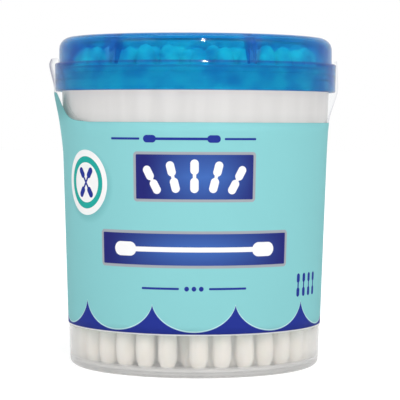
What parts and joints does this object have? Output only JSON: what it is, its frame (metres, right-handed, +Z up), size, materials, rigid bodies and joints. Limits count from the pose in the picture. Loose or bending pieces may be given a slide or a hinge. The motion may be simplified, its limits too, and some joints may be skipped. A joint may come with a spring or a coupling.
{
  "type": "cotton swab tub",
  "caption": "Round tapered clear tub with a translucent press-on lid and a wrapped film label with two ears, packed with upright cotton swabs.",
  "frame": {"origin": "centre of the foot, on the surface the tub stands on", "axes": "+Z up the axis of the tub, -Y to the front of the label, +X to its right"},
  "size_m": [0.0691, 0.067, 0.0777],
  "materials": {
    "tub_plastic": "natural polypropylene, slightly cloudy, smooth moulded gloss",
    "lid_plastic": "translucent blue polypropylene, glossy, darker and more violet where it is seen edge-on",
    "label_film": "printed glossy film, aqua with navy shapes, clear at the ears",
    "stick_plastic": "white, smooth, satin",
    "cotton": "white wound cotton fibre, matt"
  },
  "bodies": {
    "tub_and_swabs": {"tub": "tub_plastic", "label": "label_film", "sticks_front": "stick_plastic", "sticks_front_right": "stick_plastic", "sticks_back_right": "stick_plastic", "sticks_back": "stick_plastic", "sticks_back_left": "stick_plastic", "sticks_front_left": "stick_plastic", "lower_cotton_front": "cotton", "lower_cotton_front_right": "cotton", "lower_cotton_back_right": "cotton", "lower_cotton_back": "cotton", "lower_cotton_back_left": "cotton", "lower_cotton_front_left": "cotton", "upper_cotton_front": "cotton", "upper_cotton_front_right": "cotton", "upper_cotton_back_right": "cotton", "upper_cotton_back": "cotton", "upper_cotton_back_left": "cotton", "upper_cotton_front_left": "cotton"},
    "lid": {"lid": "lid_plastic"}
  },
  "joints": [
    {"name": "lid_lift", "type": "slide", "parent": "tub_and_swabs", "child": "lid", "axis": [0, 0, 1], "range_m": [0, 0.03]}
  ]
}
